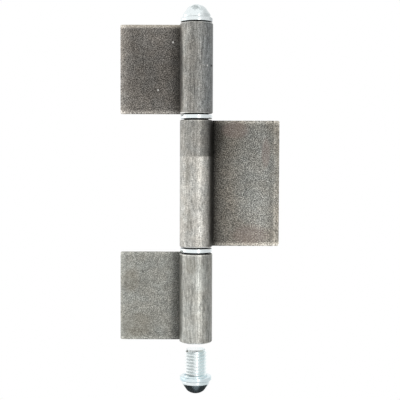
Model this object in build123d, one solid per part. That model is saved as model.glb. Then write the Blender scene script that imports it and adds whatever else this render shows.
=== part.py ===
from build123d import *
import math
import os

# A three-knuckle weld-on hinge in bare drawn steel, for steel doors and gates.
# The upper and lower leaves point left and the longer middle leaf points right. All three turn on
# one loose pin, with a zinc-plated thrust ring in each gap, and an M12 domed closing screw over
# its own ring shuts each end of the barrel. The lower screw is backed out, as in the photograph.
# Frame: +Z runs up the pin, +X points along the middle leaf, and the leaf backs face +Y. The
# origin lies on the pin's axis at mid-height. Sizes are in millimetres.

# Barrel
barrel_diameter = 18.0
outer_knuckle_length = 49.0
middle_knuckle_length = 69.5
knuckle_chamfer = 0.5

# Leaves
leaf_thickness = 4.0
outer_leaf_reach = 42.0
middle_leaf_reach = 46.0
root_fillet = 0.6
lip_width = 3.4
lip_drop = 0.7
back_edge_chamfer = 0.4

# Pin
pin_diameter = 10.0
pin_end_chamfer = 1.0
pin_end_gap = 0.2

# Rings, turned with a raised bearing face on each running side and a rim that stands clear of it
ring_diameter = 17.4
ring_face_diameter = 13.5
ring_rim_height = 2.1
ring_relief = 0.65

# Closing screws, M12 x 1.75
thread_diameter = 12.0
screw_length = 17.1
screw_tip_chamfer = 1.0
tapped_depth = 16.0
mouth_chamfer = 0.6
collar_diameter = 15.2
collar_height = 1.9
dome_flank_angle = 36.0
dome_shoulder_diameter = 9.6
dome_nose_radius = 7.4
lower_screw_backed_out = 18.5

# Fits
running_clearance = 0.05
ring_bore_clearance = 0.1
axial_play = 0.05

# Places that follow from the sizes above
barrel_radius = barrel_diameter / 2
screw_ring_height = ring_rim_height + ring_relief
thrust_ring_height = screw_ring_height + ring_relief
knuckle_gap = thrust_ring_height + 2 * axial_play
middle_top = middle_knuckle_length / 2
outer_start = middle_top + knuckle_gap
barrel_end = outer_start + outer_knuckle_length
screw_engagement = screw_length - screw_ring_height
pin_length = 2 * (barrel_end - screw_engagement - pin_end_gap)


def leaf_section(reach):
    """The drawn section of a left-hand leaf: a round knuckle, and a flat leaf tangent to its back."""
    front = barrel_radius - leaf_thickness
    fillet_y = front - root_fillet
    centre_distance = barrel_radius + root_fillet
    fillet_centre = Vector(-math.sqrt(centre_distance**2 - fillet_y**2), fillet_y)
    on_knuckle = fillet_centre * (barrel_radius / centre_distance)
    on_leaf = Vector(fillet_centre.X, front)
    towards_corner = ((on_leaf - fillet_centre) + (on_knuckle - fillet_centre)).normalized()
    underside = Vector(barrel_radius, 0).rotate(Axis.Z, -45)
    tangent_point = (0, barrel_radius)
    flat_sides = Polyline(
        tangent_point,
        (-reach + back_edge_chamfer, barrel_radius),
        (-reach, barrel_radius - back_edge_chamfer),
        (-reach, front + lip_drop),
        (-reach + lip_width, front),
        on_leaf,
    )
    fillet_arc = ThreePointArc(on_leaf, fillet_centre + towards_corner * root_fillet, on_knuckle)
    knuckle_arc = ThreePointArc(on_knuckle, underside, tangent_point)
    return make_face([flat_sides, fillet_arc, knuckle_arc])


def leaf_and_knuckle(reach, bottom, length):
    """A length cut off the drawn section, with its sawn ends chamfered and its pin bore through."""
    blank = Pos(0, 0, bottom) * extrude(leaf_section(reach), length)
    sawn_ends = blank.faces().filter_by(Axis.Z)
    blank = chamfer(sawn_ends.edges(), knuckle_chamfer)
    bore = Cylinder(pin_diameter / 2 + running_clearance, length)
    return blank - Pos(0, 0, bottom + length / 2) * bore


def tapped_mouth():
    """What the M12 thread takes out of an outer knuckle: its bore and the countersunk mouth."""
    radius = thread_diameter / 2 + running_clearance
    hole = Cylinder(radius, tapped_depth, align=(Align.CENTER, Align.CENTER, Align.MAX))
    mouth = Cone(radius, radius + mouth_chamfer, mouth_chamfer, align=(Align.CENTER, Align.CENTER, Align.MAX))
    return hole + mouth


def ring(bore_diameter, height):
    """A ring on its raised bearing face. Where it is taller than its rim it has one above as well."""
    upright = (Align.CENTER, Align.CENTER, Align.MIN)
    rim = Cylinder(ring_diameter / 2, ring_rim_height, align=upright)
    faces = Cylinder(ring_face_diameter / 2, height, align=upright)
    bore = Cylinder(bore_diameter / 2, height, align=upright)
    return Pos(0, 0, ring_relief) * rim + faces - bore


def closing_screw():
    """A closing screw with its shank up and its head's underside at zero height."""
    collar = collar_diameter / 2
    shoulder = dome_shoulder_diameter / 2
    shoulder_height = -collar_height - (collar - shoulder) / math.tan(math.radians(dome_flank_angle))
    nose_centre = shoulder_height + math.sqrt(dome_nose_radius**2 - shoulder**2)
    apex = nose_centre - dome_nose_radius
    nose_angle = math.asin(shoulder / dome_nose_radius) / 2
    nose_middle = (
        dome_nose_radius * math.sin(nose_angle),
        nose_centre - dome_nose_radius * math.cos(nose_angle),
    )
    shank = thread_diameter / 2
    sides = Polyline(
        (0, apex),
        (0, screw_length),
        (shank - screw_tip_chamfer, screw_length),
        (shank, screw_length - screw_tip_chamfer),
        (shank, 0),
        (collar, 0),
        (collar, -collar_height),
        (shoulder, shoulder_height),
    )
    nose = ThreePointArc((shoulder, shoulder_height), nose_middle, (0, apex))
    return revolve(Plane.XZ * make_face([sides, nose]), Axis.Z)


def hinge_pin():
    """The plain pin that all three knuckles turn on, between the two screws' tips."""
    pin = Cylinder(pin_diameter / 2, pin_length)
    return chamfer(pin.edges().filter_by(GeomType.CIRCLE), pin_end_chamfer)


turned_over = Rot(180, 0, 0)
screw_seat = barrel_end + screw_ring_height
thrust_ring = ring(pin_diameter + 2 * ring_bore_clearance, thrust_ring_height)
screw_ring = ring(thread_diameter + 2 * ring_bore_clearance, screw_ring_height)
screw = closing_screw()
mouth = Pos(0, 0, barrel_end) * tapped_mouth()
backed_out = Pos(0, 0, -lower_screw_backed_out)
middle_leaf = mirror(leaf_and_knuckle(middle_leaf_reach, -middle_top, middle_knuckle_length), Plane.YZ)

pieces = {
    "upper_leaf": leaf_and_knuckle(outer_leaf_reach, outer_start, outer_knuckle_length) - mouth,
    "middle_leaf": middle_leaf,
    "lower_leaf": leaf_and_knuckle(outer_leaf_reach, -barrel_end, outer_knuckle_length) - turned_over * mouth,
    "hinge_pin": hinge_pin(),
    "upper_thrust_ring": Pos(0, 0, middle_top + axial_play) * thrust_ring,
    "lower_thrust_ring": Pos(0, 0, -middle_top - knuckle_gap + axial_play) * thrust_ring,
    "upper_screw_ring": Pos(0, 0, barrel_end) * screw_ring,
    "lower_screw_ring": backed_out * turned_over * Pos(0, 0, barrel_end) * screw_ring,
    "upper_closing_screw": Pos(0, 0, screw_seat) * turned_over * screw,
    "lower_closing_screw": backed_out * Pos(0, 0, -screw_seat) * screw,
}

os.makedirs("parts", exist_ok=True)
for name, piece in pieces.items():
    export_step(piece, f"parts/{name}.step")
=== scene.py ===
# A weld-on hinge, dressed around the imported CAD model. The leaves and the pin are the CAD's own with
# new finishes. The rings get rounded edges and the closing screws their real threads.
import math

import bmesh
import bpy
from mathutils import Matrix, Vector


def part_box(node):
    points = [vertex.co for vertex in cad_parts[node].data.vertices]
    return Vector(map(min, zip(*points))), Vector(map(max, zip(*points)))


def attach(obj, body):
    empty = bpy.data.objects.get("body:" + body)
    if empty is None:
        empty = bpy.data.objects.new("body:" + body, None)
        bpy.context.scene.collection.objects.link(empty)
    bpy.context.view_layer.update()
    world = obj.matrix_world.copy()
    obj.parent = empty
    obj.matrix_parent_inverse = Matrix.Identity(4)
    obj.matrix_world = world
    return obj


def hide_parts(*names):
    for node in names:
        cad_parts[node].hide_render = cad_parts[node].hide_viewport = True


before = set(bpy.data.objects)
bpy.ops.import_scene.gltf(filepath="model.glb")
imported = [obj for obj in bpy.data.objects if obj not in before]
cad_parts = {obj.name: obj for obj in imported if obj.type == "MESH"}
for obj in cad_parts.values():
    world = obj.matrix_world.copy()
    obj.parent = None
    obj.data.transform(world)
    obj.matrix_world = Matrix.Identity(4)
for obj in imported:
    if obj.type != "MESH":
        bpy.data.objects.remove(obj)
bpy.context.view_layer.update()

MM = 0.001

# The closing screws, as the source has them: M12 x 1.75, domed, with a plain collar
THREAD_RADIUS = 6.0 * MM
THREAD_PITCH = 1.75 * MM
THREAD_DEPTH = 0.5413 * THREAD_PITCH
SCREW_LENGTH = 17.1 * MM
TIP_CHAMFER = 1.0 * MM
COLLAR_RADIUS = 7.6 * MM
COLLAR_HEIGHT = 1.9 * MM
SHOULDER_RADIUS = 4.8 * MM
DOME_FLANK = math.radians(36)
NOSE_RADIUS = 7.4 * MM
HEAD_ROUNDING = 0.3 * MM
SHANK_IN_HEAD = 1.0 * MM

# The rings
RIM_RADIUS = 8.7 * MM
FACE_RADIUS = 6.75 * MM
THRUST_RING_BORE_RADIUS = 5.1 * MM
SCREW_RING_BORE_RADIUS = 6.1 * MM
RING_RELIEF = 0.65 * MM
RING_ROUNDING = 0.22 * MM

# The leaves and their knuckles
BARREL_RADIUS = 9.0 * MM
KNUCKLE_CHAMFER = 0.5 * MM
MOUTH_RADIUS = 6.3 * MM
LEAF_FRONT = 5.0 * MM
GRAIN_DEPTH = 0.05 * MM

# How finely round forms are divided, which corners are rounded, and which edges shade sharp
ROUND_STEPS = 96
THREAD_STEPS = 72
NOSE_STEPS = 12
CORNER_ANGLE = math.radians(12)
SHARP_ANGLE = math.radians(30)
WELD_DISTANCE = 0.001 * MM


def linear(red, green, blue):
    """A colour as a screen shows it, from 0 to 255, turned into the shader's own scale."""
    shown = [level / 255 for level in (red, green, blue)]
    return tuple(part / 12.92 if part < 0.0404 else ((part + 0.055) / 1.055) ** 2.4 for part in shown)


ZINC = (0.85, 0.91, 0.92)
# Black for the painted shade in the gaps beside the rings, and for the nick in the upper knuckle.
SHADE_AND_NICK_BLACK = (0.008, 0.008, 0.007)


class Value:
    """An output of a shader node. Arithmetic on it adds the Math nodes that work it out."""

    def __init__(self, nodes, socket):
        self.nodes = nodes
        self.socket = socket

    def output(self, name):
        """Another output of the same node."""
        return Value(self.nodes, self.socket.node.outputs[name])

    def math(self, operation, *others):
        """A Math node on this value and the others."""
        inputs = dict(enumerate((self, *others)))
        return self.nodes.add("ShaderNodeMath", {"operation": operation}, inputs)

    def __add__(self, other):
        return self.math("ADD", other)

    def __sub__(self, other):
        return self.math("SUBTRACT", other)

    def __rsub__(self, other):
        return self.math("MULTIPLY", -1.0).math("ADD", other)

    def __mul__(self, other):
        return self.math("MULTIPLY", other)

    def __truediv__(self, other):
        return self.math("DIVIDE", other)

    __radd__ = __add__
    __rmul__ = __mul__


class Nodes:
    """A node tree that is built from values."""

    def __init__(self, owner):
        owner.use_nodes = True
        self.tree = owner.node_tree
        self.tree.nodes.clear()

    def add(self, kind, settings={}, inputs={}):
        """Adds a node with its settings, then its sockets' values or links. Gives its first output."""
        node = self.tree.nodes.new(kind)
        for name, setting in settings.items():
            if name == "stops":
                self.set_stops(node.color_ramp, setting)
            else:
                setattr(node, name, setting)
        usable = [socket for socket in node.inputs if socket.enabled]
        for name, given in inputs.items():
            if isinstance(name, int):
                socket = usable[name]
            else:
                socket = next(each for each in usable if each.name == name)
            if isinstance(given, Value):
                self.tree.links.new(given.socket, socket)
            else:
                socket.default_value = given
        outputs = [socket for socket in node.outputs if socket.enabled]
        return Value(self, outputs[0]) if outputs else None

    def set_stops(self, ramp, stops):
        """Gives a ramp its grey stops, each a position from 0 to 1 and a level."""
        while len(ramp.elements) < len(stops):
            ramp.elements.new(1.0)
        for stop, (position, level) in zip(ramp.elements, stops):
            stop.position = position
            stop.color = (level, level, level, 1.0)

    def profile(self, value, stops):
        """Follows the given stops as the value goes by them, each a value in mm and its level."""
        start, end = stops[0][0], stops[-1][0]
        highest = max(level for _, level in stops)
        greys = [((at - start) / (end - start), level / highest) for at, level in stops]
        along = (value - start * MM) / ((end - start) * MM)
        return self.add("ShaderNodeValToRGB", {"stops": greys}, {"Fac": along}) * highest

    def fade(self, value, start, end, first=0.0, last=1.0):
        """Goes smoothly from the first level to the last as the value goes from start to end."""
        return self.add(
            "ShaderNodeMapRange",
            {"interpolation_type": "SMOOTHSTEP"},
            {"Value": value, "From Min": start, "From Max": end, "To Min": first, "To Max": last},
        )

    def fade_out(self, value, start, end):
        """Goes smoothly from 1 to 0 as the value goes from start to end."""
        return self.fade(value, start, end, 1.0, 0.0)

    def mix(self, factor, first, second):
        """A colour between two colours."""
        opaque = [c if isinstance(c, Value) else (*c, 1.0) for c in (first, second)]
        return self.add(
            "ShaderNodeMix", {"data_type": "RGBA"}, {"Factor": factor, "A": opaque[0], "B": opaque[1]}
        )

    def scaled(self, colour, amount):
        """A colour made darker or lighter."""
        return self.add("ShaderNodeVectorMath", {"operation": "SCALE"}, {0: colour, "Scale": amount})

    def multiplied(self, first, second):
        """Two vectors or colours multiplied part by part."""
        return self.add("ShaderNodeVectorMath", {"operation": "MULTIPLY"}, {0: first, 1: second})


class Finish(Nodes):
    """A surface finish, worked out from the point's place in the object's own coordinates."""

    def __init__(self, name):
        self.material = bpy.data.materials.new(name)
        super().__init__(self.material)
        self.place = self.add("ShaderNodeTexCoord").output("Object")
        parts = self.add("ShaderNodeSeparateXYZ", {}, {"Vector": self.place})
        self.x, self.y, self.z = (parts.output(axis) for axis in "XYZ")
        self.radius = (self.x * self.x + self.y * self.y).math("SQRT")

    def grain(self, size, detail=2.0, stretch=(1, 1, 1)):
        """Noise about 0, from about -0.5 to 0.5, with spots of about the given size in metres."""
        vector = self.place
        if stretch != (1, 1, 1):
            vector = self.multiplied(self.place, stretch)
        inputs = {"Vector": vector, "Scale": 1 / size, "Detail": detail}
        return self.add("ShaderNodeTexNoise", {}, inputs) - 0.5

    def seen(self, level):
        """A level of lightness as the eye sees it, as a share of light."""
        return level.math("MAXIMUM", 0.1).math("POWER", 2.2)

    def off_barrel(self, start, end):
        """0 on the knuckle and 1 on the leaf, changing between two distances from the barrel in mm."""
        return self.fade(self.radius, BARREL_RADIUS + start * MM, BARREL_RADIUS + end * MM)

    def patch(self, centre, reach):
        """A soft-edged spot of 1 on the front. Its centre and its reach are X and Z in mm."""
        across = (self.x - centre[0] * MM) / (reach[0] * MM)
        along = (self.z - centre[1] * MM) / (reach[1] * MM)
        spot = self.fade_out(across * across + along * along, 0.2, 1.0)
        return spot * self.fade_out(self.y, LEAF_FRONT + 0.5 * MM, LEAF_FRONT + 2 * MM)

    def marked(self, colour, tone, strength, marks):
        """A colour with a tone laid over it in patches, each given as its centre and its reach."""
        for centre, reach in marks:
            colour = self.mix(self.patch(centre, reach) * strength, colour, tone)
        return colour

    def metal(self, colour, roughness, height, depth):
        """Ends the finish as metal of a colour and roughness, with a bump of a depth in metres."""
        bump = self.add("ShaderNodeBump", {}, {"Strength": 1.0, "Distance": depth, "Height": height})
        shader = self.add(
            "ShaderNodeBsdfPrincipled",
            {},
            {"Base Color": colour, "Metallic": 1.0, "Roughness": roughness, "Normal": bump},
        )
        self.add("ShaderNodeOutputMaterial", {}, {"Surface": shader})
        return self.material

    def matt(self, colour):
        """Ends the finish as a matt one, for the studio's pieces."""
        shader = self.add("ShaderNodeBsdfPrincipled", {}, {"Base Color": colour, "Roughness": 0.9})
        self.add("ShaderNodeOutputMaterial", {}, {"Surface": shader})
        return self.material


def drawn_steel(node, tone, knuckle_tone, painted_crease_shade_and_lip, painted_knuckle_shading, borders, speckle, streaking):
    """Bare drawn steel: speckled on the leaf and lighter at its top and bottom borders, with painted
    shade in the corner beside the barrel, streaked along the knuckle. One profile gives levels by the
    distance from the pin, painted shade beside the barrel and lighter towards the lip, and the other
    gives painted highlight and shade across the knuckle. Both fade out towards the back, where neither
    belongs. The knuckle's chamfers get a painted highlight. Gives the finish, its colour and its
    height."""
    steel = Finish(f"{node}_steel")
    low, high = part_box(node)
    speck = steel.grain(0.5 * MM, detail=1.0)
    coarse = steel.grain(1.8 * MM)
    cloud = steel.grain(12 * MM)
    mottle = steel.grain(0.9 * MM, stretch=(1, 1, 0.3))
    streaks = steel.grain(0.7 * MM, stretch=(1, 1, 0.07))
    from_pin = steel.x.math("ABSOLUTE")

    # Painted shade in the corner beside the barrel, lighter towards the lip; on the front only.
    leaf = steel.profile(from_pin, painted_crease_shade_and_lip)
    leaf = 1 + (leaf - 1) * steel.fade_out(steel.y, LEAF_FRONT + 0.5 * MM, LEAF_FRONT + 3 * MM)
    for to_edge, lighter in zip((high.z - steel.z, steel.z - low.z), borders):
        leaf = leaf * (1 + steel.fade(to_edge + coarse * 1.5 * MM, 0.6 * MM, 2.6 * MM, lighter, 0.0))
    reach = max(-low.x, high.x)
    calm_lip = steel.fade(from_pin, reach - 4 * MM, reach - 3 * MM, 1.0, 0.65)
    leaf = leaf * steel.seen(1 + (speck * speckle + coarse * 0.6) * calm_lip + cloud * 0.25)

    # Painted highlight and shade across the knuckle; on its front only.
    knuckle = steel.profile(steel.x, painted_knuckle_shading)
    knuckle = 1 + (knuckle - 1) * steel.fade_out(steel.y, 1 * MM, 6 * MM)
    # A painted highlight on the knuckle's chamfers and end faces, added to its grain and streaks.
    painted_chamfer_highlight = steel.fade(steel.radius, BARREL_RADIUS - 0.08 * MM, BARREL_RADIUS - 0.02 * MM, 0.6, 0.0)
    lightness = 1 + speck * speckle * 0.35 + mottle * 0.6 + streaks * streaking + cloud * 0.25 + painted_chamfer_highlight
    knuckle = knuckle * steel.seen(lightness)

    blend_width = steel.fade(steel.y, LEAF_FRONT + 1 * MM, LEAF_FRONT + 3 * MM, 0.5 * MM, 3 * MM)
    on_leaf = steel.fade(steel.radius, BARREL_RADIUS + 0.1 * MM, BARREL_RADIUS + blend_width)
    colour = steel.mix(on_leaf, steel.scaled(knuckle_tone, knuckle), steel.scaled(tone, leaf))
    warm_or_cool = steel.fade(steel.grain(7 * MM), -0.15, 0.15)
    tint = steel.mix(warm_or_cool, (0.985, 1.0, 1.01), (1.012, 1.0, 0.985))
    height = speck * (0.2 + on_leaf * 0.3) + coarse * 0.2 + streaks * (1 - on_leaf) * 0.3
    return steel, steel.multiplied(colour, tint), height


def paint_end_shade(steel, colour, unshaded_end=None):
    """Blackens the barrel's end faces inside their chamfers as painted gap shade, except at an unshaded
    end.
    """
    face_radius = BARREL_RADIUS - KNUCKLE_CHAMFER
    # Painted shade: the end faces inside the chamfers are black, as in the gaps beside the rings.
    painted_gap_shade = steel.fade_out(steel.radius, face_radius - 0.15 * MM, face_radius - 0.05 * MM)
    if unshaded_end is not None:
        painted_gap_shade = painted_gap_shade * steel.fade(steel.z, unshaded_end + 1 * MM, unshaded_end + 2 * MM)
    return steel.mix(painted_gap_shade, colour, SHADE_AND_NICK_BLACK)


def paint_chamfer_shade_and_highlight(steel, colour, top):
    """Runs painted gap shade down over the barrel's top chamfer, and paints a highlight line round
    below it.
    """
    below_top = top - steel.z
    from_line = (below_top - (KNUCKLE_CHAMFER + 0.12 * MM)).math("ABSOLUTE")
    # A painted highlight line round the knuckle just below its top chamfer.
    lightness = steel.fade_out(from_line, 0.15 * MM, 0.35 * MM) * (1 - steel.off_barrel(0.1, 0.3))
    colour = steel.scaled(colour, 1 + lightness * 0.5)
    # Painted shade over the top chamfer, as dark as the gap beside the ring above it.
    painted_gap_shade = steel.fade_out(steel.radius, BARREL_RADIUS - 0.2 * MM, BARREL_RADIUS - 0.08 * MM)
    painted_gap_shade = painted_gap_shade * steel.fade(below_top, KNUCKLE_CHAMFER, KNUCKLE_CHAMFER + 0.1 * MM, 0.85, 0.0)
    return steel.mix(painted_gap_shade, colour, SHADE_AND_NICK_BLACK)


def thread_in_mouth(steel):
    """The tapped hole's thread as a height. It is many times deeper than the grain."""
    turn = steel.y.math("ARCTAN2", steel.x) / (2 * math.pi)
    groove = (steel.z / THREAD_PITCH - turn).math("PINGPONG", 0.5)
    in_hole = steel.fade_out(steel.radius, MOUTH_RADIUS, MOUTH_RADIUS + 0.2 * MM)
    groove_depth = 12
    return groove * in_hole * groove_depth


def upper_leaf_steel():
    """The darkest leaf by painted shade, with white chips, a nick in its knuckle and a brownish top
    edge.
    """
    steel, colour, height = drawn_steel(
        "upper_leaf",
        # These tones are painted shade: the same steel is given darker here than on the leaves below.
        tone=linear(102, 99, 95),
        knuckle_tone=linear(137, 136, 132),
        painted_crease_shade_and_lip=[
            (9, 0.4), (12.5, 0.58), (14.7, 0.88), (18, 1.03), (35, 1.06), (38, 1.3),
            (40, 1.85), (42, 2.5),
        ],
        painted_knuckle_shading=[
            (-9, 1.35), (-5.5, 1.38), (-3, 0.95), (-1, 0.87), (1, 0.95), (3, 0.92),
            (6, 0.87), (9, 0.75),
        ],
        borders=(1.8, 1.35),
        speckle=2.9,
        streaking=0.85,
    )
    cool_side = steel.fade(steel.x, -2 * MM, 7 * MM)
    colour = steel.multiplied(colour, steel.mix(cool_side, (1.01, 1.0, 0.99), (0.95, 1.0, 1.06)))
    # The leaf is a little lighter overall and darker in a soft patch over its middle.
    darker_middle = steel.patch((-20, 60), (26, 20))
    colour = steel.scaled(colour, 1.05 - darker_middle * 0.17)
    brown_top = steel.fade(steel.z, 85.2 * MM, 86.8 * MM) * steel.off_barrel(0.2, 0.8)
    colour = steel.mix(brown_top * 0.6, colour, linear(178, 171, 156))
    chip = (0.45, 0.7)
    chips = [((-13.0, 77.6), chip), ((-21.2, 51.4), chip), ((5.9, 63.8), chip)]
    colour = steel.marked(colour, linear(225, 224, 220), 0.8, chips)
    nick = steel.patch((8.5, 64), (1.1, 0.8)) * steel.fade_out(steel.y, -3 * MM, -2 * MM)
    colour = paint_end_shade(steel, steel.mix(nick, colour, SHADE_AND_NICK_BLACK))
    height = height + thread_in_mouth(steel)
    return steel.metal(colour, roughness=0.42, height=height, depth=GRAIN_DEPTH)


def middle_leaf_steel():
    """The long leaf: a deep painted shadow beside its pale knuckle, brown stains, and a drawn lip. The
    knuckle's upper end is a dark band."""
    steel, colour, height = drawn_steel(
        "middle_leaf",
        # These tones are painted light and shade: the same steel, paler than the upper leaf's and
        # darker than the lower's.
        tone=linear(119, 116, 109),
        knuckle_tone=linear(180, 178, 172),
        painted_crease_shade_and_lip=[
            (9, 0.04), (10.2, 0.2), (11.5, 0.36), (15, 0.6), (19.5, 0.8), (27, 0.98), (35, 1.17),
            (39.5, 1.0), (41.5, 0.85), (42.5, 0.95), (43.3, 1.7), (44.2, 1.3), (46, 1.55),
        ],
        painted_knuckle_shading=[
            (-9, 1.05), (-7.5, 0.92), (-5, 1.05), (-2.5, 1.12), (0, 1.0), (1, 0.98), (3, 1.24),
            (4.5, 1.06), (5.5, 0.9), (7, 0.48), (8.4, 0.15), (9, 0.1),
        ],
        borders=(0.85, 1.45),
        speckle=2.9,
        streaking=0.35,
    )
    cool_half = steel.patch((33, 4), (15, 42))
    tints = steel.mix(cool_half, (1.01, 0.995, 0.99), (0.955, 1.0, 1.05))
    # Painted light: the leaf is darker at the top and paler towards the bottom.
    painted_light_below = steel.fade(steel.z, 32 * MM, -18 * MM, 0.84, 1.08)
    # Painted shade in the corner beside the barrel, below the upper knuckle.
    painted_corner_shade = steel.patch((10.5, 27), (6, 15))
    leaf_colour = steel.scaled(steel.multiplied(colour, tints), painted_light_below * (1 - painted_corner_shade * 0.4))
    colour = steel.mix(steel.off_barrel(0.1, 0.6), colour, leaf_colour)
    stains = [((21.7, 29.6), (9, 6)), ((30, -28.6), (12, 7)), ((38.5, 17), (3, 10))]
    colour = steel.marked(colour, linear(122, 106, 100), 0.35, stains)
    band_edge = steel.z + steel.grain(1.8 * MM) * 0.8 * MM
    dark_band = steel.fade(band_edge, 14.3 * MM, 15.5 * MM) * (1 - steel.off_barrel(0.1, 0.4))
    # The band is darker towards the right, where it takes back the knuckle's painted highlight.
    band_strength = steel.fade(steel.x, 0, 3.5 * MM, 0.34, 0.6)
    colour = steel.scaled(colour, 1 - dark_band * band_strength)
    # Two darker vertical strips on the knuckle's left front.
    dark_strips = [((-4.6, 6.4), (1.6, 9)), ((-3.5, -20), (1.6, 9))]
    colour = steel.marked(colour, linear(120, 116, 106), 0.35, dark_strips)
    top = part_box("middle_leaf")[1].z
    colour = paint_chamfer_shade_and_highlight(steel, paint_end_shade(steel, colour), top)
    return steel.metal(colour, roughness=0.4, height=height, depth=GRAIN_DEPTH)


def lower_leaf_steel():
    """The palest leaf by painted light, with brown stains and no painted shade on its lower end face.
    """
    steel, colour, height = drawn_steel(
        "lower_leaf",
        # These tones are painted light: the same steel is given palest here, on the lowest leaf.
        tone=linear(144, 144, 138),
        knuckle_tone=linear(176, 176, 170),
        painted_crease_shade_and_lip=[
            (9, 0.36), (12.2, 0.42), (14.7, 0.8), (18, 0.93), (24, 0.96), (34, 1.05),
            (39, 1.12), (42, 1.65),
        ],
        painted_knuckle_shading=[
            (-9, 0.93), (-6, 0.95), (-3.5, 1.0), (-2, 0.97), (0, 1.03), (1, 0.98), (2, 1.12), (3, 1.08),
            (4, 0.88), (6, 0.68), (9, 0.65),
        ],
        borders=(0.3, 0.4),
        speckle=1.9,
        streaking=0.6,
    )
    stains = [((-33, -79), (11, 9)), ((-36.5, -54.5), (6, 8)), ((-2.5, -44.5), (4, 6))]
    colour = steel.marked(colour, linear(122, 114, 98), 0.3, stains)
    bottom, top = (corner.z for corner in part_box("lower_leaf"))
    colour = paint_chamfer_shade_and_highlight(steel, paint_end_shade(steel, colour, unshaded_end=bottom), top)
    height = height + thread_in_mouth(steel)
    return steel.metal(colour, roughness=0.4, height=height, depth=GRAIN_DEPTH)


def pin_steel():
    """The pin's smooth steel, with fine turning lines round it."""
    steel = Finish("pin_steel")
    lines = steel.grain(0.25 * MM, detail=1.0, stretch=(0.05, 0.05, 1))
    colour = steel.scaled(linear(170, 170, 170), 1 + lines * 0.3)
    return steel.metal(colour, roughness=0.3 + lines * 0.1, height=lines, depth=0.004 * MM)


def zinc_plate(name):
    """Bright zinc plate: pale, a little blue, with faint clouds. Gives the finish and its colour."""
    zinc = Finish(name)
    level = 1 + zinc.grain(3 * MM) * 0.16 + zinc.grain(0.7 * MM) * 0.06
    return zinc, zinc.scaled(ZINC, level)


def polished(zinc, colour):
    """Ends a zinc plate finish with uneven gloss and the faint ripple of the plating."""
    roughness = 0.2 + zinc.grain(4 * MM) * 0.15
    return zinc.metal(colour, roughness, height=zinc.grain(0.7 * MM), depth=0.003 * MM)


def clean_zinc():
    """Zinc plate with the blue tint of a fresh bath."""
    zinc, colour = zinc_plate("zinc_plate")
    blue = zinc.fade(zinc.grain(5 * MM), -0.15, 0.15, 0.2, 0.7)
    return polished(zinc, zinc.mix(blue, colour, linear(205, 230, 238)))


def zinc_with_painted_shade():
    """Zinc plate painted black beside the rings' raised faces, as painted shade in the gaps. The top
    ring's right end has painted shade.
    """
    zinc, colour = zinc_plate("zinc_plate_with_painted_shade")
    # Painted shade on the top ring's right end.
    painted_end_shade = zinc.fade(zinc.x, 6.2 * MM, 8.2 * MM) * zinc.fade(zinc.z, 80 * MM, 85 * MM)
    colour = zinc.mix(painted_end_shade * 0.45, colour, linear(120, 122, 128))
    # Painted shade: the rings are black inside their rims, in the gaps beside the knuckles.
    inside = zinc.fade_out(zinc.radius, RIM_RADIUS - 0.18 * MM, RIM_RADIUS - 0.08 * MM)
    return polished(zinc, zinc.mix(inside, colour, SHADE_AND_NICK_BLACK))


def screw_zinc():
    """Zinc plate, grey on the upper screw's crown, with painted shade down the dome's right side. The
    lower screw's thread has painted shade in its root, most on the left side.
    """
    zinc, colour = zinc_plate("screw_zinc_plate")
    uneven = zinc.grain(1.1 * MM) * 2.4
    crown = zinc.fade(zinc.patch((-0.6, 95.2), (3.2, 2.4)) * 0.8 + uneven, 0.3, 1.0)
    # Painted shade down the dome's right side and on its shoulder.
    sweep = zinc.fade(zinc.patch((2.4, 95.1), (3.6, 2.2)) * 0.8 + uneven, 0.3, 1.0)
    shoulder = zinc.patch((5.8, 92.8), (3, 4))
    grey_crown_and_painted_shade = (crown * 0.8).math("MAXIMUM", sweep * 0.35).math("MAXIMUM", shoulder * 0.35)
    colour = zinc.mix(grey_crown_and_painted_shade, colour, linear(160, 170, 170))

    on_lower = zinc.fade_out(zinc.z, 0, 1 * MM)
    head_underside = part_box("lower_closing_screw")[1].z - SCREW_LENGTH
    on_shank = on_lower * zinc.fade(zinc.z, head_underside, head_underside + 0.2 * MM)
    colour = zinc.mix(on_shank * 0.8, colour, (0.97, 1.0, 1.0))
    blue = on_lower * zinc.fade(zinc.x, 0.8 * MM, 3 * MM, 0.0, 0.3)
    colour = zinc.mix(blue, colour, linear(198, 230, 234))

    root = THREAD_RADIUS - THREAD_DEPTH
    in_root = zinc.fade_out(zinc.radius, root, root + 0.3 * THREAD_DEPTH)
    tip_radius = THREAD_RADIUS - TIP_CHAMFER
    off_tip = zinc.fade(zinc.radius, tip_radius - 0.4 * MM, tip_radius - 0.1 * MM)
    # Painted shade in the thread's root, most on the left side and near the tip on the right.
    on_left = zinc.fade(zinc.x, -1.8 * MM, 0.2 * MM, 0.5, 0.0)
    near_tip = zinc.fade(zinc.z, -100 * MM, -94 * MM, 0.0, 0.25) * zinc.fade(zinc.x, 1.5 * MM, 3 * MM)
    painted_root_shade = in_root * on_shank * off_tip * (on_left + near_tip)
    return polished(zinc, zinc.mix(painted_root_shade, colour, linear(100, 120, 120)))


def add_piece(name, form, material):
    """Puts a finished form into the scene as an object."""
    mesh = bpy.data.meshes.new(name)
    form.to_mesh(mesh)
    form.free()
    mesh.materials.append(material)
    piece = bpy.data.objects.new(name, mesh)
    bpy.context.scene.collection.objects.link(piece)
    return piece


def zinc_piece(name, form, material, body, node):
    """Makes a zinc-plated piece of a finished form, in place of its CAD node."""
    for face in form.faces:
        face.smooth = True
    for edge in form.edges:
        edge.smooth = edge.is_manifold and edge.calc_face_angle() < SHARP_ANGLE
    piece = add_piece(name, form, material)
    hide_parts(node)
    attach(piece, body)


def stage_piece(name, form, material):
    """Makes a piece of the studio, which isn't part of the hinge."""
    piece = add_piece(name, form, material)
    return piece


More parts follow.
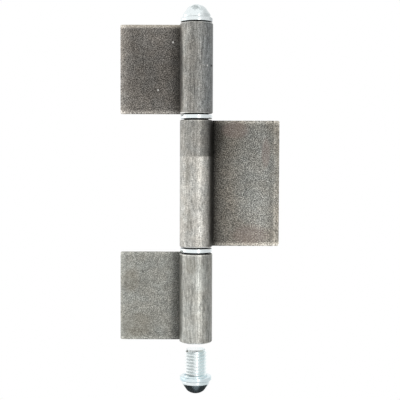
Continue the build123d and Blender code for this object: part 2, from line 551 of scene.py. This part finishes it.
def turned(outline, rounding, closed):
    """A turned form: an outline of radius and height spun about Z, with its sharp corners rounded."""
    form = bmesh.new()
    points = [form.verts.new((radius, 0, height)) for radius, height in outline]
    ends = points[1:] + (points[:1] if closed else [])
    lines = [form.edges.new(pair) for pair in zip(points, ends)]
    bmesh.ops.spin(
        form, geom=points + lines, cent=(0, 0, 0), axis=(0, 0, 1), angle=2 * math.pi,
        steps=ROUND_STEPS, use_merge=True,
    )
    bmesh.ops.remove_doubles(form, verts=form.verts, dist=WELD_DISTANCE)
    bmesh.ops.recalc_face_normals(form, faces=form.faces)
    corners = [edge for edge in form.edges if edge.calc_face_angle(0) > CORNER_ANGLE]
    bmesh.ops.bevel(
        form, geom=corners, offset=rounding, affect="EDGES", segments=3, profile=0.5, material=-1
    )
    return form


def ring_form(height, bore_radius, face_above):
    """A ring standing on its raised bearing face, with a second one above where it bears there too."""
    rim_top = height - RING_RELIEF if face_above else height
    outline = [
        (bore_radius, 0),
        (FACE_RADIUS, 0),
        (FACE_RADIUS, RING_RELIEF),
        (RIM_RADIUS, RING_RELIEF),
        (RIM_RADIUS, rim_top),
    ]
    if face_above:
        outline += [(FACE_RADIUS, rim_top), (FACE_RADIUS, height)]
    outline.append((bore_radius, height))
    return turned(outline, RING_ROUNDING, closed=True)


def threaded_shank():
    """The screw's shank, with its helix cut off square at both ends and chamfered at the tip. It
    reaches a little way into the head."""
    form = bmesh.new()
    root = THREAD_RADIUS - THREAD_DEPTH
    root_flat = THREAD_PITCH / 4
    crest_flat = THREAD_PITCH / 8
    flank = THREAD_PITCH * 5 / 16
    outline = []
    for turn in range(-2, math.ceil(SCREW_LENGTH / THREAD_PITCH) + 2):
        start = turn * THREAD_PITCH
        outline += [
            (root, start),
            (root, start + root_flat),
            (THREAD_RADIUS, start + root_flat + flank),
            (THREAD_RADIUS, start + root_flat + flank + crest_flat),
        ]
    points = [form.verts.new((radius, 0, height)) for radius, height in outline]
    lines = [form.edges.new(pair) for pair in zip(points, points[1:])]
    bmesh.ops.spin(
        form, geom=points + lines, cent=(0, 0, 0), axis=(0, 0, 1), angle=2 * math.pi,
        steps=THREAD_STEPS, dvec=(0, 0, THREAD_PITCH / THREAD_STEPS), use_merge=False,
    )
    bmesh.ops.remove_doubles(form, verts=form.verts, dist=WELD_DISTANCE)
    for height, outward in ((-SHANK_IN_HEAD, -1), (SCREW_LENGTH, 1)):
        everything = list(form.verts) + list(form.edges) + list(form.faces)
        bmesh.ops.bisect_plane(
            form, geom=everything, dist=WELD_DISTANCE / 10, plane_co=(0, 0, height),
            plane_no=(0, 0, outward), clear_outer=True,
        )
        bmesh.ops.holes_fill(form, edges=[edge for edge in form.edges if edge.is_boundary], sides=0)
    for vert in form.verts:
        allowed = THREAD_RADIUS - TIP_CHAMFER + SCREW_LENGTH - vert.co.z
        radius = vert.co.xy.length
        if radius > allowed:
            vert.co.x *= allowed / radius
            vert.co.y *= allowed / radius
    bmesh.ops.recalc_face_normals(form, faces=form.faces)
    return form


def closing_screw_form():
    """A closing screw with its shank up and its head's underside at zero height."""
    shoulder_height = -COLLAR_HEIGHT - (COLLAR_RADIUS - SHOULDER_RADIUS) / math.tan(DOME_FLANK)
    nose_centre = shoulder_height + math.sqrt(NOSE_RADIUS**2 - SHOULDER_RADIUS**2)
    nose_angle = math.asin(SHOULDER_RADIUS / NOSE_RADIUS)
    angles = [nose_angle * step / NOSE_STEPS for step in range(NOSE_STEPS + 1)]
    outline = [
        (NOSE_RADIUS * math.sin(angle), nose_centre - NOSE_RADIUS * math.cos(angle)) for angle in angles
    ]
    outline += [(COLLAR_RADIUS, -COLLAR_HEIGHT), (COLLAR_RADIUS, 0), (0, 0)]
    form = turned(outline, HEAD_ROUNDING, closed=False)
    shank = threaded_shank()
    mesh = bpy.data.meshes.new("shank")
    shank.to_mesh(mesh)
    shank.free()
    form.from_mesh(mesh)
    bpy.data.meshes.remove(mesh)
    return form


def fit_ring(name, material, body, turned_over=False):
    """Makes a ring with rounded edges and puts it where its CAD node is."""
    low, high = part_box(name)
    under_screw = "screw" in name
    bore_radius = SCREW_RING_BORE_RADIUS if under_screw else THRUST_RING_BORE_RADIUS
    form = ring_form(high.z - low.z, bore_radius, face_above=not under_screw)
    if turned_over:
        half_turn = Matrix.Rotation(math.pi, 3, "X")
        bmesh.ops.rotate(form, verts=form.verts, cent=(0, 0, 0), matrix=half_turn)
    bmesh.ops.translate(form, verts=form.verts, vec=(0, 0, high.z if turned_over else low.z))
    zinc_piece(f"{name}_turned", form, material, body, name)


def fit_screw(name, material, body, turned_over=False):
    """Makes a closing screw with its thread and puts it where its CAD node is."""
    low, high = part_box(name)
    head_underside = low.z + SCREW_LENGTH if turned_over else high.z - SCREW_LENGTH
    placed = Matrix.Translation((0, 0, head_underside))
    if turned_over:
        placed = placed @ Matrix.Rotation(math.pi, 4, "X")
    form = closing_screw_form()
    bmesh.ops.transform(form, matrix=placed, verts=form.verts)
    zinc_piece(f"{name}_with_thread", form, material, body, name)


def disc(radius, height):
    """A flat disc about Z, facing up."""
    form = bmesh.new()
    place = Matrix.Translation((0, 0, height))
    bmesh.ops.create_circle(form, cap_ends=True, segments=ROUND_STEPS, radius=radius, matrix=place)
    return form


def black_card():
    """A black card below the hinge, which shows only in reflections. It makes the lower dome's end
    black, and its paler spot gives the sheen there."""
    paper = Finish("black_card")
    across = (paper.x - 1.5 * MM) / (11 * MM)
    along = (paper.y + 14 * MM) / (10 * MM)
    spot = paper.fade_out(across * across + along * along, 0.0, 1.0)
    material = paper.matt(paper.mix(spot, (0.016, 0.021, 0.023), (0.18, 0.22, 0.24)))
    card = stage_piece("black_card", disc(24 * MM, -124 * MM), material)
    card.visible_camera = False
    card.visible_diffuse = False
    card.visible_shadow = False


def white_studio():
    """A white background, which metal shows too, with its walls on the right in light shade."""
    world = bpy.data.worlds.new("white_studio")
    bpy.context.scene.world = world
    nodes = Nodes(world)
    rays = nodes.add("ShaderNodeLightPath")
    shown = rays.output("Is Camera Ray").math("MAXIMUM", rays.output("Is Transmission Ray"))
    direction = nodes.add("ShaderNodeTexCoord").output("Generated")
    parts = nodes.add("ShaderNodeSeparateXYZ", {}, {"Vector": direction})
    shade = nodes.fade(parts.output("X"), 0.2, 0.95, 1.0, 0.76)
    strength = shown + (1 - shown) * shade
    background = nodes.add("ShaderNodeBackground", {}, {"Color": (1, 1, 1, 1), "Strength": strength})
    nodes.add("ShaderNodeOutputWorld", {}, {"Surface": background})


def softbox(name, place, target, width, height, power):
    """A rectangular lamp at a place, turned towards a target."""
    light = bpy.data.lights.new(name, "AREA")
    light.shape = "RECTANGLE"
    light.size = width
    light.size_y = height
    light.energy = power
    lamp = bpy.data.objects.new(name, light)
    lamp.location = place
    lamp.rotation_euler = (Vector(target) - Vector(place)).to_track_quat("-Z", "Y").to_euler()
    bpy.context.scene.collection.objects.link(lamp)


def photograph_camera():
    """The camera half a metre in front of the hinge, at the photograph's angle."""
    camera = bpy.data.objects.new("camera", bpy.data.cameras.new("camera"))
    camera.data.sensor_width = 36
    camera.data.lens = 82
    place = Matrix.Translation((2.14 * MM, -500 * MM, 12.45 * MM))
    tilted_down = Matrix.Rotation(math.radians(90 - 2.46), 4, "X")
    rolled = Matrix.Rotation(math.radians(0.19), 4, "Z")
    camera.matrix_world = place @ tilted_down @ rolled
    bpy.context.scene.collection.objects.link(camera)
    bpy.context.scene.camera = camera


steels = {
    "upper_leaf": upper_leaf_steel(),
    "middle_leaf": middle_leaf_steel(),
    "lower_leaf": lower_leaf_steel(),
    "hinge_pin": pin_steel(),
}
for name, material in steels.items():
    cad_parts[name].material_slots[0].material = material

ring_finish = zinc_with_painted_shade()
fit_ring("upper_thrust_ring", ring_finish, "door_side")
fit_ring("lower_thrust_ring", ring_finish, "frame_side")
fit_ring("upper_screw_ring", ring_finish, "upper_ring")
fit_ring("lower_screw_ring", clean_zinc(), "lower_ring", turned_over=True)

screw_finish = screw_zinc()
fit_screw("upper_closing_screw", screw_finish, "upper_screw", turned_over=True)
fit_screw("lower_closing_screw", screw_finish, "lower_screw")

stage_piece("floor", disc(240 * MM, -200 * MM), Finish("pale_floor").matt((0.8, 0.8, 0.8, 1.0)))
black_card()
white_studio()
softbox(
    "left_box", place=(-0.45, 0.12, 0), target=(0, 0, 0),
    width=0.35, height=0.35, power=0.22,
)
softbox(
    "front_strip", place=(0.115, -0.32, -0.03), target=(0, 0, -0.02),
    width=0.05, height=0.32, power=0.14,
)
photograph_camera()
bpy.context.scene.view_settings.view_transform = "Standard"
